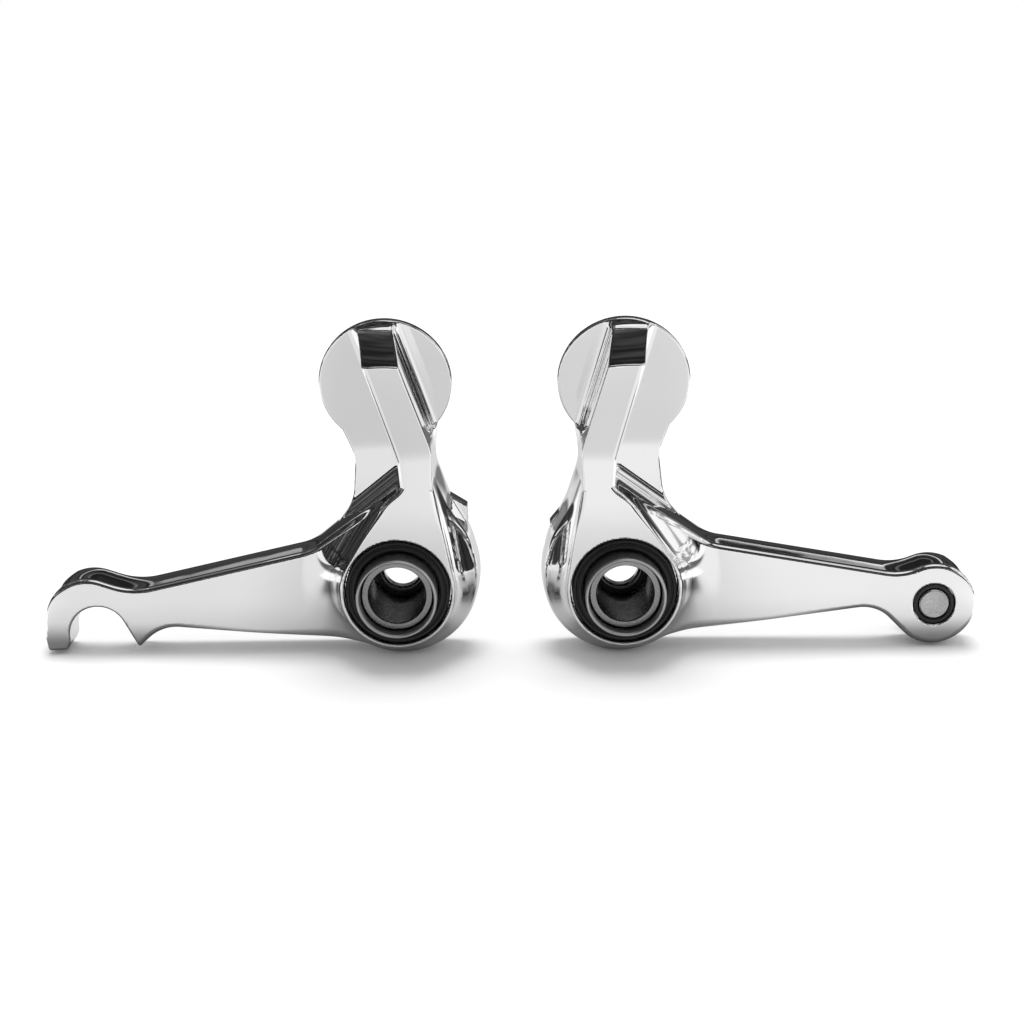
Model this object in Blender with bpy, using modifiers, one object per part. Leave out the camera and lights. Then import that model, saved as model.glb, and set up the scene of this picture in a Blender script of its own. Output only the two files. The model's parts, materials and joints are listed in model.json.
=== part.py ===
"""Pair of hand-finished pivot levers: a brake lever that ends in an open hook and a
shift lever that ends in a round eye.

Every lever is drawn in its own lever frame: the pivot axis is the local Y axis, +X runs
out along the arm, +Z runs up to the paddle, and Y = 0 is the front lip of the pivot
sleeve, with +Y running to the back. The brake lever is the mirror image of that frame.
"""

import math

import bmesh
import bpy
from mathutils import Matrix, Vector

MM = 0.001

# --- Pair -------------------------------------------------------------------------------
COLLECTION = "brake_shift_levers"
PIVOT_SPACING = 49.2 * MM       # between the two pivot axes
PIVOT_HEIGHT = 16.6 * MM        # pivot axis above the surface that the levers stand on
BRAKE_TURN = math.radians(2.75) # the brake arm stands this much lower than the shift arm
CENTRE_X = 0.224 * MM           # moves the pair so that its box is centred on X = 0
CENTRE_Y = 16.5 * MM            # middle of the depth, from the sleeve's front lip
CLEARANCE = 0.3 * MM            # between pieces that touch
PRESS_GAP = 0.1 * MM            # round the bush in the eye and the pin in its bush

# --- Pivot stack, distances along Y -----------------------------------------------------
SLEEVE_RADIUS = 8.7 * MM
SLEEVE_BORE = 7.95 * MM
SLEEVE_LENGTH = 27.0 * MM
LINER_RADIUS = SLEEVE_BORE - CLEARANCE
LINER_BORE = 6.35 * MM          # half-inch counterbore for the pivot bolt's head
LINER_FRONT = 2.8 * MM
WASHER_BORE = 4.7 * MM
WASHER_FRONT = 22.7 * MM        # the bolt's head presses on this face
WASHER_THICKNESS = 1.3 * MM
SEAT_BORE = 4.1 * MM            # clears an M8 or 5/16 inch bolt
BUSH_BORE = SLEEVE_RADIUS + 0.05 * MM
BUSH_RADIUS = 10.2 * MM
BUSH_LENGTH = 6.0 * MM
SEAL_RADIUS = 11.4 * MM
SEAL_BORE = SLEEVE_RADIUS + CLEARANCE
SEAL_DEPTH = 2.6 * MM
SEAL_INSET = 0.5 * MM

# --- Lever body -------------------------------------------------------------------------
RIM_FRONT = 5.1 * MM            # front rim of the hub
ARM_BACK = 25.0 * MM
RIM_RADIUS = 12.45 * MM
HUB_RADIUS = 17.2 * MM
HUB_CENTRE = (-0.6 * MM, 0.6 * MM)
NECK_CENTRE = (-5.7 * MM, 25.0 * MM)
NECK_RADIUS = 3.3 * MM
COVE_RADIUS = 9.78 * MM         # hollow flare from the rim back to the arm
COVE_REACH = 8.2 * MM           # how far out from the rim the flare meets the arm's face
COVE_STEPS = 6
RIM_CHAMFER = 0.35 * MM         # breaks the edge between the rim's face and the flare
COVE_DEPTH = math.sqrt(COVE_RADIUS ** 2 - (COVE_RADIUS - COVE_REACH) ** 2)
ARM_FRONT = RIM_FRONT + RIM_CHAMFER + COVE_DEPTH
ARM_CHAMFER = 0.8 * MM
OUTER_FILLET = 9.0 * MM         # corner between neck, outer slope and arm
INNER_FILLET = 8.0 * MM         # soft corners down the inner side of the neck
EYE_FILLET = 7.0 * MM           # hollow between the eye and the arm's underside
PLATE_THICKNESS = 3.0 * MM
PLATE_CHAMFER = 0.35 * MM
PLATE_SINK = 0.06 * MM          # plate, lug and rib end this much inside the arm's back face
LUG_THICKNESS = 4.5 * MM
RIB_CHAMFER = 0.6 * MM
DISC_CENTRE = (0.4 * MM, 43.5 * MM)
DISC_RADIUS = 14.5 * MM
BEND_HEIGHT = 30.5 * MM         # the paddle leans towards the front above this height
BEND_SPREAD = 3.0 * MM
LEAN = math.radians(12.0)

# --- Arm ends ---------------------------------------------------------------------------
EYE_CENTRE = (69.4 * MM, -6.65 * MM)
EYE_RADIUS = 9.5 * MM
EYE_BUSH_RADIUS = 4.6 * MM
LINK_PIN_RADIUS = 3.35 * MM
LINK_PIN_LENGTH = 18.0 * MM
RETAINER_RADIUS = 5.2 * MM
RETAINER_THICKNESS = 1.0 * MM
GROOVE_WIDTH = 1.2 * MM
GROOVE_DEPTH = 0.6 * MM
GROOVE_INSET = 2.2 * MM         # from the groove's front side to the pin's rear end
PIN_EDGE = 0.4 * MM
HOOK_CENTRE = (69.9 * MM, -5.4 * MM)
HOOK_RADIUS = 9.8 * MM
NOTCH_CENTRE = (68.0 * MM, -8.8 * MM)
NOTCH_RADIUS = 6.4 * MM

ARC_STEP = math.radians(7.5)
TURN_STEPS = 48
NECK_STEPS = 8
WELD = 0.001 * MM
BEYOND = 75.0 * MM              # carries an envelope or a cutter well past the lever


# --- Small geometry helpers -------------------------------------------------------------

def mm(*pairs):
    """Points given in millimetres, in metres."""
    return [(x * MM, z * MM) for x, z in pairs]


def arc(centre, radius, start, end):
    """Points along an arc from one angle to another, in degrees."""
    first, last = math.radians(start), math.radians(end)
    count = max(2, round(abs(last - first) / ARC_STEP))
    angles = [first + (last - first) * i / count for i in range(count + 1)]
    return [(centre[0] + radius * math.cos(a), centre[1] + radius * math.sin(a)) for a in angles]


def rounded(points, radius):
    """An open run of points with each inner corner replaced by an arc of the radius."""
    result = [points[0]]
    for before, corner, after in zip(points, points[1:], points[2:]):
        here, prev, following = Vector(corner), Vector(before), Vector(after)
        back, ahead = (prev - here), (following - here)
        half = back.angle(ahead) / 2
        reach = min(radius / math.tan(half), 0.48 * back.length, 0.48 * ahead.length)
        start, end = here + back.normalized() * reach, here + ahead.normalized() * reach
        steps = max(2, round((math.pi - 2 * half) / ARC_STEP))
        for i in range(steps + 1):
            t = i / steps
            point = start.lerp(here, t).lerp(here.lerp(end, t), t)
            result.append((point.x, point.y))
    return result + [points[-1]]


def new_object(name, mesh):
    """A mesh object linked to the scene's own collection while it is being worked on."""
    made = bpy.data.objects.new(name, mesh)
    bpy.context.scene.collection.objects.link(made)
    return made


def baked(made, name):
    """A plain mesh object that holds another object's evaluated shape, which it replaces."""
    bpy.context.view_layer.update()
    graph = bpy.context.evaluated_depsgraph_get()
    mesh = bpy.data.meshes.new_from_object(made.evaluated_get(graph))
    mesh.transform(made.matrix_world)
    bpy.data.objects.remove(made)
    shape = bmesh.new()
    shape.from_mesh(mesh)
    bmesh.ops.remove_doubles(shape, verts=shape.verts, dist=WELD)
    bmesh.ops.recalc_face_normals(shape, faces=shape.faces)
    shape.to_mesh(mesh)
    shape.free()
    return new_object(name, mesh)


def slab(name, outline, front, back, chamfer=0.0):
    """A flat piece between two Y planes, its outline drawn in X and Z, edges chamfered."""
    curve = bpy.data.curves.new(name, "CURVE")
    curve.dimensions = "2D"
    curve.fill_mode = "BOTH"
    curve.extrude = (back - front) / 2 - chamfer
    curve.bevel_depth = chamfer
    curve.bevel_resolution = 0
    curve.offset = -chamfer
    spline = curve.splines.new("POLY")
    spline.points.add(len(outline) - 1)
    for point, (x, z) in zip(spline.points, outline):
        point.co = (x, z, 0.0, 1.0)
    spline.use_cyclic_u = True
    made = new_object(name, curve)
    made.rotation_euler = (math.radians(90), 0, 0)
    made.location = (0, (front + back) / 2, 0)
    return baked(made, name)


def turned(name, profile, centre=(0.0, 0.0)):
    """A solid of revolution about Y; the profile holds (radius, y) pairs, front to back."""
    mesh = bpy.data.meshes.new(name)
    ring = [(radius, 0.0, -y) for radius, y in profile]
    edges = [(i, (i + 1) % len(ring)) for i in range(len(ring))]
    mesh.from_pydata(ring, edges, [])
    made = new_object(name, mesh)
    screw = made.modifiers.new("turn", "SCREW")
    screw.steps = TURN_STEPS
    screw.render_steps = TURN_STEPS
    screw.use_merge_vertices = True
    screw.merge_threshold = WELD
    made.rotation_euler = (math.radians(90), 0, 0)
    made.location = (centre[0], 0, centre[1])
    return baked(made, name)


def ring(name, outer, inner, front, back, chamfer=0.0, centre=(0.0, 0.0)):
    """A turned ring between two Y planes, its four edges chamfered."""
    profile = [(outer - chamfer, front), (outer, front + chamfer),
               (outer, back - chamfer), (outer - chamfer, back),
               (inner + chamfer, back), (inner, back - chamfer),
               (inner, front + chamfer), (inner + chamfer, front)]
    if chamfer == 0.0:
        profile = [(outer, front), (outer, back), (inner, back), (inner, front)]
    return turned(name, profile, centre)


def combine(target, other, operation):
    """Joins, cuts or intersects two solids; the second one is used up."""
    boolean = target.modifiers.new("combine", "BOOLEAN")
    boolean.operation = operation
    boolean.solver = "EXACT"
    boolean.object = other
    result = baked(target, target.name)
    bpy.data.objects.remove(other)
    return result


# --- Lever outlines, in the lever frame -------------------------------------------------

def teardrop(grow):
    """The hub's rim joined to the neck by straight tangents, grown outwards evenly."""
    dx, dz = NECK_CENTRE
    towards = math.degrees(math.atan2(dz, dx))
    spread = math.degrees(math.acos((RIM_RADIUS - NECK_RADIUS) / math.hypot(dx, dz)))
    rim = arc((0, 0), RIM_RADIUS + grow, towards + spread, towards + 360 - spread)
    first, last = math.radians(towards - spread), math.radians(towards + spread)
    for i in range(NECK_STEPS + 1):
        angle = first + (last - first) * i / NECK_STEPS
        radius = NECK_RADIUS + grow
        rim.append((dx + radius * math.cos(angle), dz + radius * math.sin(angle)))
    return rim


def crank_top():
    """From the neck down the outer slope and out along the arm's top edge."""
    run = mm((-3.05, 31.0), (-3.0, 24.2), (19.4, 8.1), (57.5, 1.35))
    return rounded(run, OUTER_FILLET)


def crank_inner():
    """From the lowest point of the hub round its inner side and up to the neck."""
    hub = arc(HUB_CENTRE, HUB_RADIUS, 300, 185)
    neck = mm((-17.7, 2.6), (-16.4, 9.0), (-12.2, 17.0), (-9.5, 25.5), (-9.5, 31.0))
    return hub + rounded(neck, INNER_FILLET)


def eye_end():
    """The round eye at the end of the shift arm, with a hollow run into the arm."""
    lobe = arc(EYE_CENTRE, EYE_RADIUS, 120, -125)
    underside = mm((62.9, -13.6), (57.4, -7.2), (14.0, -12.9), (9.6, -13.6))
    return mm((61.2, 1.3)) + lobe + rounded(underside, EYE_FILLET)


def hook_end():
    """The open hook at the end of the brake arm: round back, round notch, pointed tooth."""
    back = arc(HOOK_CENTRE, HOOK_RADIUS, 112, -8)
    tip = mm((79.2, -9.4), (78.3, -12.2), (77.2, -12.85), (76.0, -12.6), (74.6, -11.2))
    notch = arc(NOTCH_CENTRE, NOTCH_RADIUS, -8, 184)
    tooth = mm((59.8, -12.1), (58.9, -12.9), (57.8, -12.3), (55.4, -9.9), (51.9, -8.7))
    underside = mm((35.7, -10.5), (14.0, -13.2), (9.6, -13.9))
    return mm((61.4, 2.0)) + back + tip + notch + tooth + underside


def paddle():
    """The thin plate behind the rib: disc, neck and the run down into arm and hub."""
    disc = arc(DISC_CENTRE, DISC_RADIUS, -42, 222)
    inner = mm((-9.8, 29.5), (-9.5, 25.0), (-11.0, 20.5), (-13.0, 14.0), (-13.5, 4.0))
    outer = rounded(mm((26.0, 6.2), (16.3, 9.0), (9.6, 16.6), (8.4, 27.0), (10.5, 33.2)), OUTER_FILLET)
    return disc + inner + mm((0.0, -6.0), (20.0, -4.0), (27.0, 2.0)) + outer


def rib():
    """The slanted web that stands on the paddle, from the neck to the top of the disc."""
    return mm((-9.2, 22.0), (-9.6, 31.6), (-2.05, 56.6), (5.35, 56.6), (-2.1, 29.0), (-2.2, 22.0))


def brake_lug():
    """The square stop lug at the back of the brake hub."""
    return mm((-8.0, 21.0), (-11.3, 17.9), (-15.8, 14.8), (-15.7, 11.0), (-12.0, 3.0), (-4.0, 8.0))


def shift_lug():
    """The slanted stop lug at the back of the shift hub."""
    return mm((-8.0, 21.0), (-12.2, 15.9), (-15.9, 11.4), (-15.6, 8.5), (-12.0, 3.0), (-4.0, 8.0))


# --- Lever body -------------------------------------------------------------------------

def front_envelope():
    """All that lies behind the front surface: rim, hollow flare and the arm's flat face."""
    levels = [(-RIM_CHAMFER, RIM_FRONT)]
    for i in range(COVE_STEPS + 1):
        angle = math.acos(1 - COVE_REACH * i / COVE_STEPS / COVE_RADIUS)
        levels.append((COVE_RADIUS * (1 - math.cos(angle)),
                       RIM_FRONT + RIM_CHAMFER + COVE_RADIUS * math.sin(angle)))
    levels.append((BEYOND, levels[-1][1]))
    levels.append((BEYOND, ARM_BACK + BEYOND))
    shape = bmesh.new()
    loops = []
    for grow, y in levels:
        loops.append([shape.verts.new((x, y, z)) for x, z in teardrop(grow)])
    for near, far in zip(loops, loops[1:]):
        for i in range(len(near)):
            j = (i + 1) % len(near)
            shape.faces.new((near[i], near[j], far[j], far[i]))
    shape.faces.new(loops[0])
    shape.faces.new(loops[-1])
    bmesh.ops.recalc_face_normals(shape, faces=shape.faces)
    mesh = bpy.data.meshes.new("envelope")
    shape.to_mesh(mesh)
    shape.free()
    return new_object("envelope", mesh)


def chamfer_arm(crank):
    """Breaks the long edges between the arm's flat front face and its walls."""
    shape = bmesh.new()
    shape.from_mesh(crank.data)
    bmesh.ops.dissolve_limit(shape, angle_limit=math.radians(0.5), verts=shape.verts, edges=shape.edges)
    face_y = max(v.co.y for v in shape.verts if v.co.y < ARM_BACK - 5 * MM)
    rim = []
    for edge in shape.edges:
        on_face = all(abs(v.co.y - face_y) < 0.01 * MM for v in edge.verts)
        walls = [f for f in edge.link_faces if abs(f.normal.y) < 0.1]
        if on_face and len(walls) == 1:
            rim.append(edge)
    bmesh.ops.bevel(shape, geom=rim, offset=ARM_CHAMFER, segments=1, affect="EDGES", clamp_overlap=False)
    shape.to_mesh(crank.data)
    shape.free()


def rib_top():
    """The wedge cut away above the rib, from its front edge back to the disc's top."""
    end = ARM_BACK - PLATE_THICKNESS + 1 * MM
    front = RIM_FRONT - 5 * MM
    slope = [(front, 49.0 * MM)] + mm((7.1, 50.6), (17.0, 54.6)) + [(end, 56.9 * MM)]
    side = slope + [(end, BEYOND), (front, BEYOND)]
    wedge = slab("rib_top", side, -BEYOND, BEYOND)
    wedge.data.transform(Matrix.Rotation(math.radians(90), 4, "Z"))
    return wedge


def lean_forward(body):
    """Leans everything above the bend towards the front, in one short smooth bend."""
    shape = bmesh.new()
    shape.from_mesh(body.data)
    for share in (-1.0, -0.33, 0.33, 1.0):
        height = BEND_HEIGHT + share * BEND_SPREAD
        everything = list(shape.verts) + list(shape.edges) + list(shape.faces)
        bmesh.ops.bisect_plane(shape, geom=everything, dist=WELD,
                               plane_co=(0, 0, height), plane_no=(0, 0, 1))
    bmesh.ops.triangulate(shape, faces=[f for f in shape.faces if len(f.verts) > 4])
    for vert in shape.verts:
        above = vert.co.z - BEND_HEIGHT + BEND_SPREAD
        if above > 2 * BEND_SPREAD:
            rise = above - BEND_SPREAD
        else:
            rise = max(above, 0.0) ** 2 / (4 * BEND_SPREAD)
        vert.co.y -= math.tan(LEAN) * rise
    shape.to_mesh(body.data)
    shape.free()


def lever_body(name, end, lug):
    """One lever forged in a single piece: hub, arm, rib and paddle."""
    outline = crank_top() + end() + crank_inner()
    body = combine(front_envelope(), slab(name, outline, 0.0, ARM_BACK), "INTERSECT")
    body.name = name
    chamfer_arm(body)
    web = slab("rib", rib(), RIM_FRONT + PLATE_SINK, ARM_BACK - 1 * MM, RIB_CHAMFER)
    web = combine(web, rib_top(), "DIFFERENCE")
    plate = slab("paddle", paddle(), ARM_BACK - PLATE_THICKNESS, ARM_BACK - PLATE_SINK, PLATE_CHAMFER)
    stop = slab("lug", lug(), ARM_BACK - LUG_THICKNESS, ARM_BACK - 2 * PLATE_SINK, PLATE_CHAMFER)
    for piece in (combine(plate, web, "UNION"), stop):
        body = combine(body, piece, "UNION")
    pocket = SEAL_RADIUS + CLEARANCE
    bore = BUSH_RADIUS + CLEARANCE
    shoulder = SEAL_DEPTH + SEAL_INSET + CLEARANCE
    end_y = ARM_BACK + BEYOND
    cut = turned("bore", [(pocket, 0.0), (pocket, RIM_FRONT + shoulder), (bore, RIM_FRONT + shoulder),
                          (bore, ARM_BACK - shoulder), (pocket, ARM_BACK - shoulder),
                          (pocket, end_y), (0.0, end_y), (0.0, 0.0)])
    body = combine(body, cut, "DIFFERENCE")
    if end is eye_end:
        radius = EYE_BUSH_RADIUS + PRESS_GAP
        hole = turned("eye", [(radius, 0.0), (radius, end_y), (0.0, end_y), (0.0, 0.0)], EYE_CENTRE)
        body = combine(body, hole, "DIFFERENCE")
    lean_forward(body)
    return body


# --- Materials --------------------------------------------------------------------------

def material(name, colour, roughness, metallic):
    """A plain Principled material."""
    made = bpy.data.materials.new(name)
    made.use_nodes = True
    shader = made.node_tree.nodes["Principled BSDF"]
    shader.inputs["Base Color"].default_value = (*colour, 1.0)
    shader.inputs["Roughness"].default_value = roughness
    shader.inputs["Metallic"].default_value = metallic
    return made


def polished_metal():
    return material("polished_metal", (0.86, 0.86, 0.87), 0.06, 1.0)


def dark_steel():
    return material("dark_steel", (0.32, 0.32, 0.33), 0.3, 1.0)


def grey_liner():
    return material("grey_liner", (0.42, 0.42, 0.42), 0.45, 0.8)


def black_rubber():
    return material("black_rubber", (0.012, 0.012, 0.013), 0.6, 0.0)


def bronze():
    return material("bronze", (0.55, 0.36, 0.18), 0.4, 1.0)


def bright_steel():
    return material("bright_steel", (0.72, 0.72, 0.73), 0.2, 1.0)


# --- Assembly ---------------------------------------------------------------------------

def finish(made, name, side, turn, paint, centre=(0.0, 0.0)):
    """Puts a piece made in the lever frame in its place on the left or right pivot."""
    if side < 0:
        made.data.transform(Matrix.Scale(-1, 4, (1, 0, 0)))
        made.data.flip_normals()
    x, z = side * centre[0], centre[1]
    made.data.transform(Matrix.Translation((-x, -CENTRE_Y, -z)))
    spin = Matrix.Rotation(turn, 4, "Y")
    pivot = Vector((CENTRE_X + side * PIVOT_SPACING / 2, 0, PIVOT_HEIGHT))
    made.matrix_world = Matrix.Translation(pivot) @ spin @ Matrix.Translation((x, 0, z))
    made.location.y = 0.0
    made.name = name
    made.data.name = name
    made.data.materials.clear()
    made.data.materials.append(paint)
    made.data.shade_smooth()
    made.data.set_sharp_from_angle(angle=math.radians(30))
    PARTS.objects.link(made)
    bpy.context.scene.collection.objects.unlink(made)


def pivot_stack(prefix, side, turn, paints):
    """Seals and bushes of one hub, and the sleeve stack that stays with the frame."""
    inset = RIM_FRONT + SEAL_INSET
    back_seal = ARM_BACK - SEAL_INSET - SEAL_DEPTH
    front_bush = inset + SEAL_DEPTH + 2 * CLEARANCE
    back_bush = back_seal - 2 * CLEARANCE - BUSH_LENGTH
    seal_edge = 0.25 * MM
    washer_back = WASHER_FRONT + WASHER_THICKNESS
    pieces = [
        ("front_seal", ring("s", SEAL_RADIUS, SEAL_BORE, inset, inset + SEAL_DEPTH, seal_edge), "rubber"),
        ("rear_seal", ring("s", SEAL_RADIUS, SEAL_BORE, back_seal, back_seal + SEAL_DEPTH, seal_edge),
         "rubber"),
        ("front_bush", ring("b", BUSH_RADIUS, BUSH_BORE, front_bush, front_bush + BUSH_LENGTH), "bronze"),
        ("rear_bush", ring("b", BUSH_RADIUS, BUSH_BORE, back_bush, back_bush + BUSH_LENGTH), "bronze"),
        ("pivot_sleeve", ring("p", SLEEVE_RADIUS, SLEEVE_BORE, 0.0, SLEEVE_LENGTH, 0.2 * MM), "dark"),
        ("bolt_liner", ring("l", LINER_RADIUS, LINER_BORE, LINER_FRONT, washer_back, 0.15 * MM), "liner"),
        ("seal_washer", ring("w", LINER_BORE - CLEARANCE, WASHER_BORE, WASHER_FRONT, washer_back), "rubber"),
        ("bolt_seat", ring("t", LINER_RADIUS, SEAT_BORE, washer_back + CLEARANCE, SLEEVE_LENGTH,
                           0.3 * MM), "bright"),
    ]
    for kind, made, paint in pieces:
        finish(made, f"{prefix}_{kind}", side, turn, paints[paint])


def link_pin(turn, paints):
    """Bush and pin in the shift lever's eye, and the ring that keeps the pin in."""
    bush = ring("eye_bush", EYE_BUSH_RADIUS, LINK_PIN_RADIUS + PRESS_GAP, ARM_FRONT + PRESS_GAP,
                ARM_BACK - PRESS_GAP, 0.15 * MM, EYE_CENTRE)
    finish(bush, "eye_bush", 1, turn, paints["rubber"], EYE_CENTRE)
    front = ARM_FRONT - PRESS_GAP
    back = front + LINK_PIN_LENGTH
    groove = back - GROOVE_INSET
    neck = LINK_PIN_RADIUS - GROOVE_DEPTH
    pin = turned("link_pin", [(0.0, front), (LINK_PIN_RADIUS - PIN_EDGE, front),
                              (LINK_PIN_RADIUS, front + PIN_EDGE), (LINK_PIN_RADIUS, groove),
                              (neck, groove), (neck, groove + GROOVE_WIDTH),
                              (LINK_PIN_RADIUS, groove + GROOVE_WIDTH),
                              (LINK_PIN_RADIUS, back - PIN_EDGE),
                              (LINK_PIN_RADIUS - PIN_EDGE, back), (0.0, back)], EYE_CENTRE)
    finish(pin, "link_pin", 1, turn, paints["bright"], EYE_CENTRE)
    clip_front = groove + (GROOVE_WIDTH - RETAINER_THICKNESS) / 2
    clip = ring("clip", RETAINER_RADIUS, neck + PRESS_GAP, clip_front,
                clip_front + RETAINER_THICKNESS, 0.0, EYE_CENTRE)
    finish(clip, "pin_retaining_ring", 1, turn, paints["dark"], EYE_CENTRE)


for old in list(bpy.data.objects):
    bpy.data.objects.remove(old)

PARTS = bpy.data.collections.new(COLLECTION)
bpy.context.scene.collection.children.link(PARTS)

PAINTS = {"polished": polished_metal(), "dark": dark_steel(), "liner": grey_liner(),
          "rubber": black_rubber(), "bronze": bronze(), "bright": bright_steel()}

finish(lever_body("brake", hook_end, brake_lug), "brake_lever", -1, -BRAKE_TURN, PAINTS["polished"])
finish(lever_body("shift", eye_end, shift_lug), "shift_lever", 1, 0.0, PAINTS["polished"])
pivot_stack("brake", -1, -BRAKE_TURN, PAINTS)
pivot_stack("shift", 1, 0.0, PAINTS)
link_pin(0.0, PAINTS)
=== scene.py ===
"""Looks of the brake and shift levers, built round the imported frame.

Each polished lever body is a smooth solid: distances to circles, outlines and planes are
blended with round fillets, the surface is traced on a grid and then drawn exactly onto the
solid. It stands for the plain CAD body. Turned pieces are lathed from their sections.
Sizes are millimetres in a lever's own frame until they are placed: the pivot axis is Y, +X
runs out along the arm, +Z up to the paddle, and Y = 0 is the sleeve's front lip.
"""
import functools
import json
import math

import bpy
import numpy as np
from mathutils import Matrix, Vector


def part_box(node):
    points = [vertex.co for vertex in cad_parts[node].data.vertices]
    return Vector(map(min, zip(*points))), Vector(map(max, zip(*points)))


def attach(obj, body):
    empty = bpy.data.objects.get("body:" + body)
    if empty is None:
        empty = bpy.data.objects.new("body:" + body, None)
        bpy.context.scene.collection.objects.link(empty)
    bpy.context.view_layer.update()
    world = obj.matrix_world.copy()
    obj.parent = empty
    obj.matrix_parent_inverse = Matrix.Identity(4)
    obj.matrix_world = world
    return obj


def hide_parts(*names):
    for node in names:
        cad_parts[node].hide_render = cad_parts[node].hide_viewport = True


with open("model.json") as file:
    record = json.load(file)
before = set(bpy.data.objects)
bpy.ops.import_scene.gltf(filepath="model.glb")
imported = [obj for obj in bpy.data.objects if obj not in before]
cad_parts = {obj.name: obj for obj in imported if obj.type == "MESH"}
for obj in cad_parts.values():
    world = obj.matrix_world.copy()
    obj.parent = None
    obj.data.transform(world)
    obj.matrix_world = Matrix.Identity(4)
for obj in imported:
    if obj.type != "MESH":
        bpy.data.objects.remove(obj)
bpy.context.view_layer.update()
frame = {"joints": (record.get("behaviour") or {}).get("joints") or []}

MM = 0.001
BRAKE_TURN = math.radians(2.75)

# --- Lever sizes ------------------------------------------------------------------------
RIM_FRONT, ARM_FRONT, PLATE_FRONT, BACK = 5.1, 15.1, 22.0, 25.0
LUG_FRONT = BACK - 4.5
RIM_RADIUS, NECK, NECK_RADIUS = 12.45, (-5.7, 25.0), 3.3
HUB, HUB_RADIUS = (-0.6, 0.6), 17.2
DISC, DISC_RADIUS = (0.4, 43.5), 14.5
EYE, EYE_RADIUS, EYE_HOLE = (69.4, -6.65), 9.5, 4.7
HOOK, HOOK_RADIUS = (69.9, -5.4), 9.8
NOTCH, NOTCH_RADIUS = (68.0, -8.8), 6.4
AXIS = (0.0, 0.0)
SEAL_POCKET, SEAL_SHOULDER, BUSH_POCKET = 11.7, 3.4, 10.5
# Above the bend the paddle leans forward.
BEND_HEIGHT, BEND_SPREAD, LEAN = 30.5, 3.0, math.tan(math.radians(12.0))
# The narrow sides' crown: its middle in Y, how fast it falls away, and where it flattens out.
CROWN_MIDDLE, CROWN_SWELL, CROWN_REACH = 22.0, 0.012, 8.0

# Fillets and rounded edges.
COVE, RIM_ROUND, RING_ROUND, ARM_ROUND = 9.65, 1.2, 0.35, 1.1
PLATE_FILLET, PLATE_ROUND, NOTCH_ROUND = 2.2, 0.45, 0.5
RIB_INNER_ROUND, RIB_OUTER_ROUND, SCOOP_ROUND = 0.5, 1.4, 0.4
LUG_ROUND, BACK_ROUND, BORE_ROUND, NEARLY_SHARP = 0.4, 0.6, 0.25, 0.01
# Where a rounding changes, along one direction: where the change starts, and how far it runs.
RIM_CHANGE = (11.0, 8.0)
FOOT_ROUND, FOOT_FROM_HUB, FOOT_TO_ARM, FOOT_DOWN = 1.6, (8.0, 8.0), (34.0, -22.0), (-3.0, -4.0)
TIP_LOSS, TIP_CHANGE = 0.7, (74.0, 5.0)
# The rib's middle line, from which its inner edge changes to its outer edge.
RIB_X, RIB_Z, RIB_SLOPE, RIB_CHANGE = -5.2, 31.0, 0.277, (-1.0, 2.0)

# --- Tracing ----------------------------------------------------------------------------
GRID = 0.3
TRACED_LOW, TRACED_HIGH = (-19.2, -1.5, -18.0), (80.6, 26.2, 59.2)
SETTLING_ROUNDS, LEAST_SLOPE = 4, 0.1
FAR, TINY, TINIEST, TOUCHING = 1e6, 1e-6, 1e-9, 0.001


# --- Solids as distance fields ----------------------------------------------------------
# A field holds the signed distance first, and then, at loose points, its three slopes.

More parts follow.
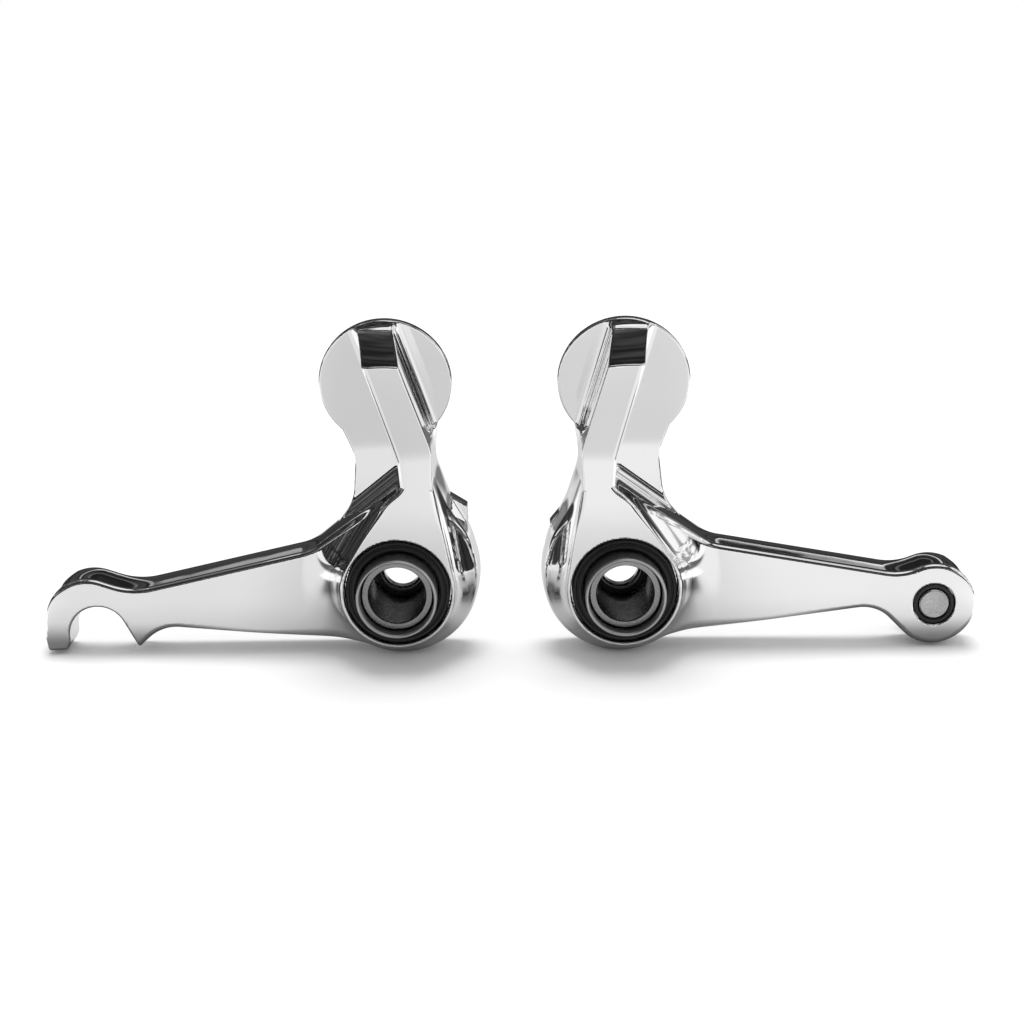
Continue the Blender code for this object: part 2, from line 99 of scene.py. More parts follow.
class Points:
    """Places to measure a field at: three arrays that broadcast together."""

    def __init__(self, x, y, z, slopes):
        self.x, self.z, self.slopes = x, z, slopes
        above = z - BEND_HEIGHT + BEND_SPREAD
        bent = np.clip(above, 0.0, 2 * BEND_SPREAD)
        rise = bent ** 2 / (4 * BEND_SPREAD) + np.maximum(above - 2 * BEND_SPREAD, 0.0)
        self.y = y + LEAN * rise
        self.tilt = LEAN * bent / (2 * BEND_SPREAD)

    def field(self, value, along_x=0.0, along_y=0.0, along_z=0.0):
        if not self.slopes:
            return value[None]
        along_z = along_z + along_y * self.tilt
        return np.stack(np.broadcast_arrays(value, along_x, along_y, along_z))

    def in_front(self, y):
        """Everything behind the plane at y."""
        return self.field(y - self.y, along_y=-1.0)

    def crown(self, middle, swell, reach):
        """How much an edge's side face falls away from its middle, towards front and back."""
        away = middle - self.y
        share = 1.0 + (away / reach) ** 2
        return self.field(swell * away ** 2 / share, along_y=-2 * swell * away / share ** 2)

    def circle(self, centre, radius):
        dx, dz = self.x - centre[0], self.z - centre[1]
        reach = np.maximum(np.hypot(dx, dz), TINY)
        return self.field(reach - radius, along_x=dx / reach, along_z=dz / reach)

    def outline(self, corners):
        """A closed outline, clockwise, with corners given as (x, z, corner radius)."""
        best, gx, gz = None, None, None
        for value, sx, sz in self.outline_runs(corners):
            if best is None:
                best, gx, gz = value, sx, sz
                continue
            nearer = np.abs(value) < np.abs(best)
            best, gx, gz = (np.where(nearer, new, old) for new, old in
                            ((value, best), (sx, gx), (sz, gz)))
        return self.field(best, along_x=gx, along_z=gz)

    def outline_runs(self, corners):
        """The outline's straight runs and rounded corners, each with its distance and slopes."""
        bends = [corner_bend(corners, i) for i in range(len(corners))]
        for i, (_, start, centre, radius, middle, half, side) in enumerate(bends):
            end = bends[(i + 1) % len(bends)][0]
            yield self.straight(start, end)
            yield self.bend(centre, radius, middle, half, side)

    def straight(self, start, end):
        run = end - start
        length = np.hypot(*run)
        run = run / length
        dx, dz = self.x - start[0], self.z - start[1]
        along = dx * run[0] + dz * run[1]
        beside = (along > -TOUCHING) & (along < length + TOUCHING)
        value = np.where(beside, dz * run[0] - dx * run[1], FAR)
        return value, -run[1] + 0 * value, run[0] + 0 * value

    def bend(self, centre, radius, middle, half, side):
        dx, dz = self.x - centre[0], self.z - centre[1]
        reach = np.maximum(np.hypot(dx, dz), TINY)
        inside = -(dx * middle[0] + dz * middle[1]) >= reach * math.cos(half)
        value = np.where(inside, side * (reach - radius), FAR)
        return value, side * dx / reach, side * dz / reach


def corner_bend(corners, i):
    """A rounded corner: its two ends, centre, radius, middle direction, half angle and side."""
    here = np.array(corners[i][:2])
    back = np.array(corners[i - 1][:2]) - here
    ahead = np.array(corners[(i + 1) % len(corners)][:2]) - here
    back, ahead = back / np.hypot(*back), ahead / np.hypot(*ahead)
    half = math.acos(np.clip(back @ ahead, -1.0, 1.0)) / 2
    middle = (back + ahead) / np.hypot(*(back + ahead))
    radius = corners[i][2]
    cut = radius / math.tan(half)
    side = 1.0 if ahead[0] * back[1] < ahead[1] * back[0] else -1.0
    centre = here + middle * radius / math.sin(half)
    return here + back * cut, here + ahead * cut, centre, radius, middle, math.pi / 2 - half, side


def ramp(value, start, run):
    """Rises smoothly from 0 where the value is start to 1 where it is start + run."""
    share = np.clip((value - start) / run, 0.0, 1.0)
    return (share * share * (3 - 2 * share))[None]


def nearest(a, b):
    return np.where(a[:1] < b[:1], a, b)


def join(a, b, radius):
    """Union of two solids with a hollow fillet of the radius."""
    u, v = np.maximum(radius - a[:1], 0.0), np.maximum(radius - b[:1], 0.0)
    reach = np.maximum(np.hypot(u, v), TINIEST)
    mixed = (u * a + v * b) / reach
    mixed[:1] = radius - reach
    return np.where(np.minimum(a[:1], b[:1]) < radius, mixed, nearest(a, b))


def keep(a, b, radius):
    """What two solids share, with its edges rounded to the radius."""
    return -join(-a, -b, radius)


# --- Outlines -----------------------------------------------------------------------------

CRANK_TOP = [(-3.05, 33.0, 0.3), (-3.0, 24.2, 6.0), (19.4, 8.1, 11.0)]
CRANK_INNER = [(8.0, -14.3, 0.3), (0.0, -11.0, 0.5), (-12.0, -2.0, 0.5), (-17.68, 2.6, 0.3),
               (-16.4, 9.0, 20.0), (-12.2, 17.0, 20.0), (-9.5, 25.5, 12.0), (-9.5, 33.0, 0.3)]
EYE_ARM = [(62.06, 0.63, 13.0), (65.84, 2.16, 0.3), (69.4, -6.65, 0.5), (62.68, -13.37, 0.3),
           (56.6, -7.32, 8.0), (9.4, -13.5, 7.0)]
HOOK_ARM = [(59.55, 1.0, 16.0), (66.23, 3.69, 0.3), (69.0, -3.0, 0.5), (62.8, -5.5, 0.3),
            (62.2, -9.0, 0.3), (59.7, -13.0, 0.3), (55.1, -9.2, 9.0), (51.5, -8.35, 8.0),
            (35.7, -10.5, 60.0), (9.4, -13.9, 10.0)]
HOOK_TIP = [(73.0, -3.0, 0.3), (79.68, -5.4, 0.3), (80.2, -8.8, 3.0), (79.6, -12.9, 0.3),
            (75.3, -12.9, 0.9), (74.1, -10.0, 1.0)]
HOOK_MOUTH = [(62.2, -6.1, 0.3), (74.3, -8.0, 0.3), (74.5, -10.4, 0.8), (75.3, -11.9, 0.6),
              (82.0, -11.9, 0.3), (82.0, -22.0, 0.3), (56.0, -22.0, 0.3), (58.7, -13.6, 0.4)]
PADDLE = [(-10.4, 33.9, 0.3), (0.0, 40.0, 0.5), (10.75, 33.3, 0.3), (8.4, 27.0, 9.0),
          (9.6, 16.6, 10.0), (16.3, 9.0, 10.0), (30.0, 5.0, 0.5), (20.0, -4.0, 0.5),
          (0.0, -6.0, 0.5), (-13.0, 4.0, 0.5), (-12.6, 14.0, 4.0), (-10.6, 20.5, 6.0),
          (-9.3, 25.0, 6.0), (-9.7, 29.5, 6.0)]
RIB = [(-9.1, 22.0, 0.5), (-9.5, 31.0, 10.0), (-0.55, 62.0, 0.5), (7.0, 62.0, 0.5),
       (-1.9, 28.6, 8.0), (-2.2, 22.0, 0.5)]
BRAKE_LUG = [(-4.0, 8.0, 0.5), (-12.0, 3.0, 0.5), (-15.7, 11.0, 0.5), (-15.8, 14.8, 0.5),
             (-11.3, 17.9, 0.5), (-8.0, 21.0, 0.5)]
SHIFT_LUG = [(-4.0, 8.0, 0.5), (-12.0, 3.0, 0.5), (-15.6, 8.5, 0.5), (-15.9, 11.4, 0.5),
             (-12.2, 15.9, 0.5), (-8.0, 21.0, 0.5)]
# The hollow above the rib: where its foot is in (y, z), its radius and its slope there.
SCOOP_FOOT, SCOOP_RADIUS, SCOOP_SLOPE = (13.5, 53.1), 95.0, math.radians(20.5)
SCOOP_MIDDLE, SCOOP_BOW = 1.55, 0.012


def tapered(p, far, near_radius, far_radius):
    """A circle at the pivot joined to a smaller one by straight sides."""
    length = math.hypot(*far)
    ux, uz = far[0] / length, far[1] / length
    lean = (near_radius - far_radius) / length
    side = math.sqrt(1 - lean * lean)
    along = p.x * ux + p.z * uz
    across = -p.x * uz + p.z * ux
    sign = np.where(across >= 0, 1.0, -1.0)
    across = across * sign
    flat = across * side + along * lean - near_radius
    foot = along * side - across * lean
    flat_x = side * sign * -uz + lean * ux
    flat_z = side * sign * ux + lean * uz
    straight = p.field(flat, along_x=flat_x, along_z=flat_z)
    near = p.circle(AXIS, near_radius)
    end = p.circle(far, far_radius)
    shape = np.where((foot < 0)[None], near, straight)
    return np.where((foot > length * side)[None], end, shape)


def scoop(p):
    """The hollow slope above the rib, a wide round trough, lower at its two sides."""
    cy = SCOOP_FOOT[0] - math.sin(SCOOP_SLOPE) * SCOOP_RADIUS
    cz = SCOOP_FOOT[1] + math.cos(SCOOP_SLOPE) * SCOOP_RADIUS
    aside = p.x - SCOOP_MIDDLE
    dy, dz = p.y - cy, p.z + SCOOP_BOW * aside ** 2 - cz
    reach = np.hypot(dy, dz)
    return p.field(SCOOP_RADIUS - reach, along_x=-dz / reach * 2 * SCOOP_BOW * aside,
                   along_y=-dy / reach, along_z=-dz / reach)


def hub_and_flare(p, rib_outline, face):
    """Hub ring, neck and rib, which flare out in a hollow curve to the arm's front face."""
    head = nearest(tapered(p, NECK, RIM_RADIUS, NECK_RADIUS), rib_outline)
    edge = RING_ROUND + (RIM_ROUND - RING_ROUND) * ramp(p.z, *RIM_CHANGE)
    return keep(join(head, p.in_front(ARM_FRONT), COVE), face, edge)


def crank_outline(p, hooked):
    """Hub, arm and the arm's end, a hook or an eye, with slightly crowned narrow sides."""
    if hooked:
        end = nearest(p.outline(HOOK_TIP), p.circle(HOOK, HOOK_RADIUS))
        crank = nearest(p.outline(CRANK_TOP + HOOK_ARM + CRANK_INNER), end)
    else:
        crank = nearest(p.outline(CRANK_TOP + EYE_ARM + CRANK_INNER), p.circle(EYE, EYE_RADIUS))
    crank = nearest(crank, p.circle(HUB, HUB_RADIUS))
    return crank + p.crown(CROWN_MIDDLE, CROWN_SWELL, CROWN_REACH)


def crank_round(p):
    """Radius of the crank's front edge: larger under the arm's foot, smaller at its far end."""
    foot = ramp(p.x, *FOOT_TO_ARM) * ramp(p.x, *FOOT_FROM_HUB) * ramp(p.z, *FOOT_DOWN)
    return (ARM_ROUND + FOOT_ROUND * foot) * (1.0 - TIP_LOSS * ramp(p.x, *TIP_CHANGE))


def rib_round(p):
    """Radius of the rib's front edges: small on the inner side, large on the arm's side."""
    beyond = p.x - RIB_X - RIB_SLOPE * (p.z - RIB_Z)
    return RIB_INNER_ROUND + (RIB_OUTER_ROUND - RIB_INNER_ROUND) * ramp(beyond, *RIB_CHANGE)


def bore_field(p):
    """The hub's bore for the bushes, with a wider pocket for a seal at each end."""
    pocket = p.circle(AXIS, SEAL_POCKET)
    shoulders = nearest(-p.in_front(RIM_FRONT + SEAL_SHOULDER), p.in_front(BACK - SEAL_SHOULDER))
    return nearest(keep(pocket, shoulders, NEARLY_SHARP), p.circle(AXIS, BUSH_POCKET))


def lever_field(p, hooked):
    """One forged lever: hub, hollow flare, arm, rib, paddle and stop lug."""
    rib_outline = p.outline(RIB)
    face = p.in_front(RIM_FRONT)
    crank = keep(hub_and_flare(p, rib_outline, face), crank_outline(p, hooked), crank_round(p))
    if hooked:
        notch = nearest(p.circle(NOTCH, NOTCH_RADIUS), p.outline(HOOK_MOUTH))
        crank = keep(crank, -notch, NOTCH_ROUND)
    rib = keep(keep(rib_outline, face, rib_round(p)), scoop(p), SCOOP_ROUND)
    raised = nearest(crank, rib)
    paddle = nearest(p.outline(PADDLE), p.circle(DISC, DISC_RADIUS))
    paddle = keep(join(raised, p.in_front(PLATE_FRONT), PLATE_FILLET), paddle, PLATE_ROUND)
    lug = keep(p.outline(BRAKE_LUG if hooked else SHIFT_LUG), p.in_front(LUG_FRONT), LUG_ROUND)
    body = keep(nearest(nearest(crank, paddle), lug), -p.in_front(BACK), BACK_ROUND)
    body = keep(body, -bore_field(p), BORE_ROUND)
    if not hooked:
        body = keep(body, -p.circle(EYE, EYE_HOLE), BORE_ROUND)
    return body


# --- Tracing a solid's surface -------------------------------------------------------------

CELL_CORNERS = [(i, j, k) for i in (0, 1) for j in (0, 1) for k in (0, 1)]


def crossed_cells(inside):
    """The grid's cells that have corners both inside and outside the solid."""
    shape = [count - 1 for count in inside.shape]
    some, every = np.zeros(shape, bool), np.ones(shape, bool)
    for i, j, k in CELL_CORNERS:
        part = inside[i:i + shape[0], j:j + shape[1], k:k + shape[2]]
        some |= part
        every &= part
    return np.argwhere(some & ~every)


def surface_spots(value, cells):
    """The middle of the places where the surface cuts a cell's edges, from its low corner."""
    corner = {o: value[tuple((cells + o).T)] for o in CELL_CORNERS}
    total, hits = np.zeros((len(cells), 3)), np.zeros(len(cells))
    for start in CELL_CORNERS:
        for axis in range(3):
            if start[axis]:
                continue
            end = tuple(1 if a == axis else start[a] for a in range(3))
            a, b = corner[start], corner[end]
            crossed = (a < 0) != (b < 0)
            share = np.where(crossed, a / np.where(crossed, a - b, 1.0), 0.0)
            place = np.array(start, float) + share[:, None] * (np.array(end) - np.array(start))
            total += np.where(crossed[:, None], place, 0.0)
            hits += crossed
    return total / hits[:, None]


def surface_faces(inside, number):
    """A four-sided face round each grid edge that the surface cuts, from the cells' numbers."""
    quads = []
    for axis in range(3):
        low_side = [slice(1, -1)] * 3
        low_side[axis] = slice(0, -1)
        high_side = list(low_side)
        high_side[axis] = slice(1, None)
        where = np.argwhere(inside[tuple(low_side)] != inside[tuple(high_side)]) + 1
        where[:, axis] -= 1
        outward = inside[tuple(where.T)]
        u, v = (axis + 1) % 3, (axis + 2) % 3
        ring = []
        for du, dv in ((0, 0), (1, 0), (1, 1), (0, 1)):
            cell = where.copy()
            cell[:, u] -= du
            cell[:, v] -= dv
            ring.append(number[tuple(cell.T)])
        ring = np.stack(ring, 1)
        quads.append(np.where(outward[:, None], ring, ring[:, ::-1]))
    return np.concatenate(quads)


def traced(measure, low, high, step):
    """Corners and four-sided faces of the surface where the measured distance is nought."""
    axes = [np.arange(a, b + step, step, dtype=np.float32) for a, b in zip(low, high)]
    x, y, z = axes[0][:, None, None], axes[1][None, :, None], axes[2][None, None, :]
    value = np.broadcast_to(measure(Points(x, y, z, False))[0], [len(a) for a in axes])
    inside = value < 0
    cells = crossed_cells(inside)
    number = np.full([count - 1 for count in inside.shape], -1, np.int64)
    number[tuple(cells.T)] = np.arange(len(cells))
    verts = np.array(low) + step * (cells + surface_spots(value, cells))
    return verts, surface_faces(inside, number)


def settled(measure, verts, rounds):
    """Draws the corners onto the surface, and gives the surface's normals there."""
    for _ in range(rounds):
        found = measure(Points(*verts.T, True))
        slope = found[1:].T
        steep = np.maximum((slope ** 2).sum(1), LEAST_SLOPE)
        move = found[0][:, None] * slope / steep[:, None]
        verts = verts - np.clip(move, -GRID, GRID)
    slope = measure(Points(*verts.T, True))[1:].T
    return verts, slope / np.linalg.norm(slope, axis=1)[:, None]


def mesh_object(name, verts, faces, normals=None):
    mesh = bpy.data.meshes.new(name)
    mesh.vertices.add(len(verts))
    mesh.vertices.foreach_set("co", np.asarray(verts, np.float32).ravel())
    mesh.loops.add(faces.size)
    mesh.loops.foreach_set("vertex_index", faces.astype(np.int32).ravel())
    mesh.polygons.add(len(faces))
    starts = np.arange(0, faces.size, faces.shape[1], dtype=np.int32)
    mesh.polygons.foreach_set("loop_start", starts)
    mesh.update(calc_edges=True)
    mesh.validate()
    mesh.shade_smooth()
    if normals is not None:
        mesh.normals_split_custom_set_from_vertices(normals)
    made = bpy.data.objects.new(name, mesh)
    bpy.context.scene.collection.objects.link(made)
    return made


# --- Placing --------------------------------------------------------------------------------

def pivot(joint_name):
    """A lever's pivot axis at the sleeve's front lip, from the frame."""
    joint = next(j for j in frame["joints"] if j["name"] == joint_name)
    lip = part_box("brake_pivot_sleeve")[0].y
    return Vector((joint["pos_m"][0], lip, joint["pos_m"][2]))


# Which way the arm points, the lever's turn at rest, and its pivot.
SIDES = {"brake": (-1, -BRAKE_TURN, pivot("brake_pivot")), "shift": (1, 0.0, pivot("shift_pivot"))}


def turned_direction(side_name, directions):
    """Directions of a lever's frame, mirrored and turned into the shared frame."""
    side, turn, _ = SIDES[side_name]
    return (np.asarray(directions) * [side, 1, 1]) @ np.array(Matrix.Rotation(turn, 3, "Y")).T


def placed(side_name, verts):
    """Points of a lever's frame, in metres in the shared frame."""
    return turned_direction(side_name, verts) * MM + np.array(SIDES[side_name][2])


def fitted(made, node, body):
    """The piece stands for a CAD node, which it hides, and rides on a body."""
    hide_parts(node)
    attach(made, body)


def lever(side_name, paint):
    """One polished lever body, which stands for its CAD node."""
    hooked = side_name == "brake"
    measure = functools.partial(lever_field, hooked=hooked)
    verts, faces = traced(measure, TRACED_LOW, TRACED_HIGH, GRID)
    verts, normals = settled(measure, verts, SETTLING_ROUNDS)
    if hooked:
        faces = faces[:, ::-1]
    made = mesh_object(f"{side_name}_lever_polished", placed(side_name, verts), faces,
                       turned_direction(side_name, normals))
    made.data.materials.append(paint)
    fitted(made, f"{side_name}_lever", side_name)


# --- Turned pieces --------------------------------------------------------------------------
# A section is a closed outline of corners, each given as (radius, y, corner radius).

RING_STEPS, BEND_STEPS = 160, 3
SEAL = [(9.02, 0.55, 0.2), (9.5, 0.05, 0.2), (9.95, 0.05, 0.2), (10.3, 0.45, 0.2), (10.65, 0.05, 0.2),
        (11.1, 0.0, 0.2), (11.38, 0.4, 0.2), (11.38, 2.55, 0.15), (9.02, 2.55, 0.15)]
FRONT_SEAL_LIP, REAR_SEAL_LIP = 5.6, 24.5
BUSH = [(8.77, 0.02, 0.3), (10.18, 0.02, 0.3), (10.18, 5.98, 0.3), (8.77, 5.98, 0.3)]
BUSH_FRONTS = (("front", 8.8), ("rear", 15.3))
SLEEVE = [(7.96, 0.35, 0.2), (8.2, 0.03, 0.15), (8.45, 0.03, 0.15), (8.69, 0.3, 0.15),
          (8.69, 26.97, 0.2), (7.96, 26.97, 0.2)]
LINER = [(6.2, 3.65, 0.12), (6.36, 3.3, 0.1), (7.5, 3.3, 0.08), (7.64, 3.5, 0.1),
         (7.64, 23.98, 0.15), (6.2, 23.98, 0.15)]
WASHER = [(4.72, 22.72, 0.3), (6.03, 22.72, 0.3), (6.03, 23.98, 0.3), (4.72, 23.98, 0.3)]
SEAT = [(4.12, 24.9, 0.4), (4.75, 24.32, 0.2), (7.64, 24.32, 0.2), (7.64, 26.97, 0.2),
        (4.12, 26.97, 0.2)]
EYE_BUSH = [(3.46, 15.5, 0.15), (3.75, 15.22, 0.12), (4.3, 15.22, 0.12), (4.58, 15.5, 0.15),
            (4.58, 24.88, 0.2), (3.46, 24.88, 0.2)]
LINK_PIN = [(0.0004, 15.05, 0.0001), (3.05, 15.02, 0.12), (3.34, 15.3, 0.15), (3.34, 30.8, 0.05),
            (2.76, 30.8, 0.05), (2.76, 31.98, 0.05), (3.34, 31.98, 0.05), (3.34, 32.7, 0.2),
            (3.05, 32.98, 0.15), (0.0004, 32.98, 0.0001)]
PIN_RING = [(2.87, 30.92, 0.15), (5.18, 30.92, 0.25), (5.18, 31.88, 0.25), (2.87, 31.88, 0.15)]


def rounded_loop(corners):
    """Points and normals round a section."""
    points, normals = [], []
    count = len(corners)
    for i in range(count):
        here = np.array(corners[i][:2])
        back = np.array(corners[i - 1][:2]) - here
        ahead = np.array(corners[(i + 1) % count][:2]) - here
        back, ahead = back / np.hypot(*back), ahead / np.hypot(*ahead)
        half = math.acos(np.clip(back @ ahead, -1.0, 1.0)) / 2
        middle = (back + ahead) / np.hypot(*(back + ahead))
        side = 1.0 if ahead[0] * back[1] - ahead[1] * back[0] > 0 else -1.0
        centre = here + middle * corners[i][2] / math.sin(half)
        first = math.atan2(-middle[1], -middle[0])
        for step in range(2 * BEND_STEPS + 1):
            angle = first + side * (math.pi / 2 - half) * (step / BEND_STEPS - 1)
            spoke = np.array([math.cos(angle), math.sin(angle)])
            points.append(centre + spoke * corners[i][2])
            normals.append(spoke * side)
    return np.array(points), np.array(normals)


def lathed(name, side_name, section, paint, centre=AXIS):
    """A ring turned about the Y axis from its section."""
    points, across = rounded_loop(section)
    rows, columns = np.arange(len(points)), np.arange(RING_STEPS)[:, None]
    angle = np.arange(RING_STEPS) * 2 * math.pi / RING_STEPS
    spoke = np.stack([np.cos(angle), 0 * angle, np.sin(angle)], 1)[:, None]
    axis = np.array([0.0, 1.0, 0.0])
    verts = points[:, :1] * spoke + points[:, 1:] * axis
    normals = across[:, :1] * spoke + across[:, 1:] * axis
    verts = verts.reshape(-1, 3) + [centre[0], 0.0, centre[1]]
    a = columns * len(points) + rows
    b = (columns + 1) % RING_STEPS * len(points) + rows
    turned = (rows + 1) % len(points)
    faces = np.stack([a, b, b[:, turned], a[:, turned]], 2).reshape(-1, 4)
    if side_name == "shift":
        faces = faces[:, ::-1]
    made = mesh_object(name, placed(side_name, verts), faces,
                       turned_direction(side_name, normals.reshape(-1, 3)))
    made.data.materials.append(paint)
    return made


def lever_fittings(side_name, paints):
    """Two lip seals and two bushes that turn with the lever."""
    front = [(r, FRONT_SEAL_LIP + y, bend) for r, y, bend in SEAL]
    rear = [(r, REAR_SEAL_LIP - y, bend) for r, y, bend in reversed(SEAL)]
    for word, section in (("front", front), ("rear", rear)):
        seal = lathed(f"{side_name}_{word}_lip_seal", side_name, section, paints["black_rubber"])
        fitted(seal, f"{side_name}_{word}_seal", side_name)
    for word, low in BUSH_FRONTS:
        section = [(r, low + y, bend) for r, y, bend in BUSH]
        bush = lathed(f"{side_name}_{word}_flanged_bush", side_name, section, paints["bronze"])
        fitted(bush, f"{side_name}_{word}_bush", side_name)


def pivot_stack(side_name, paints):
    """Sleeve, liner, washer and seat, which stay on the frame."""
    for name, node, section, look in (
            ("turned_sleeve", "pivot_sleeve", SLEEVE, "dark_steel"),
            ("turned_liner", "bolt_liner", LINER, "grey_liner"),
            ("soft_washer", "seal_washer", WASHER, "black_rubber"),
            ("turned_seat", "bolt_seat", SEAT, "bright_steel")):
        made = lathed(f"{side_name}_{name}", side_name, section, paints[look])
        fitted(made, f"{side_name}_{node}", "frame_side")


def linkage(paints):
    """Bush, pin and retaining ring in the shift lever's eye."""
    for name, node, section, look, body in (
            ("eye_bush_turned", "eye_bush", EYE_BUSH, "black_bush", "shift"),
            ("link_pin_turned", "link_pin", LINK_PIN, "pin_end", "pin"),
            ("pin_ring_pressed", "pin_retaining_ring", PIN_RING, "dark_steel", "pin")):
        made = lathed(name, "shift", section, paints[look], EYE)
        fitted(made, node, body)


# --- Looks ----------------------------------------------------------------------------------
# Grain is given in spots per metre, and a stretch below 1 draws it out along that axis.

CLOUDS, BUFFING, PITTING, WAVES = 45.0, 900.0, 620.0, 160.0
BUFFED_ALONG_ARM, TURNED_ROUND = (0.12, 1.0, 1.0), (0.4, 2.0, 0.4)
ALUMINIUM_DULL, ALUMINIUM_BRIGHT = (0.90, 0.90, 0.905), (0.955, 0.955, 0.955)
POLISH, PIT_EDGE = (0.03, 0.06), (0.77, 0.80)
PIT_ROUGHNESS, PIT_DEPTH, STREAK_DEPTH = 0.3, 0.6, 0.03
POLISHED_DEPTH, TURNED_DEPTH, CAST_DEPTH = 0.00002, 0.00001, 0.00002
STAINS_AND_PIN_SHEEN, FINE_GRAIN, TURNED_RINGS = 300.0, 2500.0, 1500.0
USUAL_NOISE = (0.3, 0.7)


def add_node(tree, kind, inputs=None, **settings):
    made = tree.nodes.new(kind)
    for key, value in settings.items():
        setattr(made, key, value)
    for key, value in (inputs or {}).items():
        if isinstance(value, bpy.types.NodeSocket):
            tree.links.new(value, made.inputs[key])
        else:
            made.inputs[key].default_value = value
    return made


def maths(tree, operation, *values):
    return add_node(tree, "ShaderNodeMath", dict(enumerate(values)), operation=operation).outputs[0]


def between(tree, value, low, high, out_low, out_high):
    """Maps a value smoothly from one range to another."""
    inputs = {"Value": value, "From Min": low, "From Max": high, "To Min": out_low, "To Max": out_high}
    return add_node(tree, "ShaderNodeMapRange", inputs, interpolation_type="SMOOTHSTEP").outputs[0]


def noise(tree, place, scale, detail, stretch=(1, 1, 1)):
    spread = add_node(tree, "ShaderNodeMapping", {"Vector": place, "Scale": stretch}).outputs[0]
    inputs = {"Vector": spread, "Scale": scale, "Detail": detail}
    return add_node(tree, "ShaderNodeTexNoise", inputs).outputs["Fac"]


def shade(tree, low, high, factor):
    """A colour between two, by the factor."""
    inputs = {"Factor": factor, "A": (*low, 1.0), "B": (*high, 1.0)}
    return add_node(tree, "ShaderNodeMix", inputs, data_type="RGBA").outputs["Result"]


def new_paint(name):
    """An empty material: its tree, the place on the piece and the shader."""
    paint = bpy.data.materials.new(name)
    paint.use_nodes = True
    tree = paint.node_tree
    tree.nodes.clear()
    place = tree.nodes.new("ShaderNodeTexCoord").outputs["Object"]
    shader = tree.nodes.new("ShaderNodeBsdfPrincipled")
    out = tree.nodes.new("ShaderNodeOutputMaterial")
    tree.links.new(shader.outputs[0], out.inputs["Surface"])
    return paint, tree, place, shader


def finish_paint(tree, shader, colour, roughness, height, depth):
    tree.links.new(colour, shader.inputs["Base Color"])
    tree.links.new(roughness, shader.inputs["Roughness"])
    bump = add_node(tree, "ShaderNodeBump", {"Height": height, "Distance": depth, "Strength": 1.0})
    tree.links.new(bump.outputs[0], shader.inputs["Normal"])


def polished_paint():
    """Mirror-polished aluminium: faint waves, buffing streaks and a few small pits."""
    paint, tree, place, shader = new_paint("polished_aluminium")
    shader.inputs["Metallic"].default_value = 1.0
    streak = noise(tree, place, BUFFING, 3.0, BUFFED_ALONG_ARM)
    pits = between(tree, noise(tree, place, PITTING, 2.0), *PIT_EDGE, 0.0, 1.0)
    colour = shade(tree, ALUMINIUM_DULL, ALUMINIUM_BRIGHT, noise(tree, place, CLOUDS, 2.0))
    roughness = maths(tree, "ADD", between(tree, streak, *USUAL_NOISE, *POLISH),
                      maths(tree, "MULTIPLY", pits, PIT_ROUGHNESS))
    raised = maths(tree, "ADD", noise(tree, place, WAVES, 1.0),
                   maths(tree, "MULTIPLY", streak, STREAK_DEPTH))
    height = maths(tree, "SUBTRACT", raised, maths(tree, "MULTIPLY", pits, PIT_DEPTH))
    finish_paint(tree, shader, colour, roughness, height, POLISHED_DEPTH)
    return paint


def turned_paint(name, dark, light, rough_low, rough_high, metallic=1.0, depth=TURNED_DEPTH):
    """Lathe-turned metal, or moulded rubber when it is not metallic."""
    paint, tree, place, shader = new_paint(name)
    shader.inputs["Metallic"].default_value = metallic
    grain = noise(tree, place, FINE_GRAIN, 4.0)
    rings = noise(tree, place, TURNED_RINGS, 2.0, TURNED_ROUND)
    # Random stains; on the pin end this mottling is also painted sheen.
    colour = shade(tree, dark, light, noise(tree, place, STAINS_AND_PIN_SHEEN, 4.0))
    roughness = between(tree, grain, *USUAL_NOISE, rough_low, rough_high)
    height = maths(tree, "ADD", grain, rings)
    finish_paint(tree, shader, colour, roughness, height, depth)
    return paint


def all_paints():
    return {
        "polished_metal": polished_paint(),
        "dark_steel": turned_paint("dark_steel", (0.52,) * 3, (0.64,) * 3, 0.32, 0.44),
        "grey_liner": turned_paint("grey_liner", (0.28,) * 3, (0.44,) * 3, 0.24, 0.36,
                                   depth=CAST_DEPTH),
        "bright_steel": turned_paint("bright_steel", (0.62,) * 3, (0.74,) * 3, 0.14, 0.26),
        "bronze": turned_paint("bronze", (0.42, 0.27, 0.12), (0.58, 0.38, 0.19), 0.35, 0.5),
        "black_rubber": turned_paint("black_rubber", (0.008,) * 3, (0.016,) * 3, 0.38, 0.55, 0.0),
        "black_bush": turned_paint("black_bush", (0.006,) * 3, (0.014,) * 3, 0.3, 0.45, 0.0),
        # The pin end's wide dark-to-light mottling is random tone and also painted sheen, in place of the
        # bright and dark sectors its turned face reflects.
        "pin_end": turned_paint("pin_end", (0.36,) * 3, (0.66,) * 3, 0.2, 0.34),
    }


# --- Studio ---------------------------------------------------------------------------------

# Soft boxes seen in the metal: direction, half angle and soft edge in degrees, brightness.
BOXES = [
    ((0.0, 1.0, 0.25), 60, 14, 0.04),
    ((0.9, 0.6, 0.35), 22, 8, 0.10),
    ((0.22, -0.20, 0.95), 21, 3, 1.0),
    ((1.0, 0.0, 0.28), 35, 6, 1.0),
    ((-0.52, 0.05, 0.85), 20, 5, 0.17),
]
# Long lit gaps all round the room: lowest and highest elevation in degrees, and brightness.
STRIPS = [(16.2, 18.4, 1.0), (23.0, 24.4, 0.35), (58.0, 66.0, 0.09), (66.3, 67.6, 0.9)]
STRIP_CORE, STRIP_EDGE = 0.3, 0.5
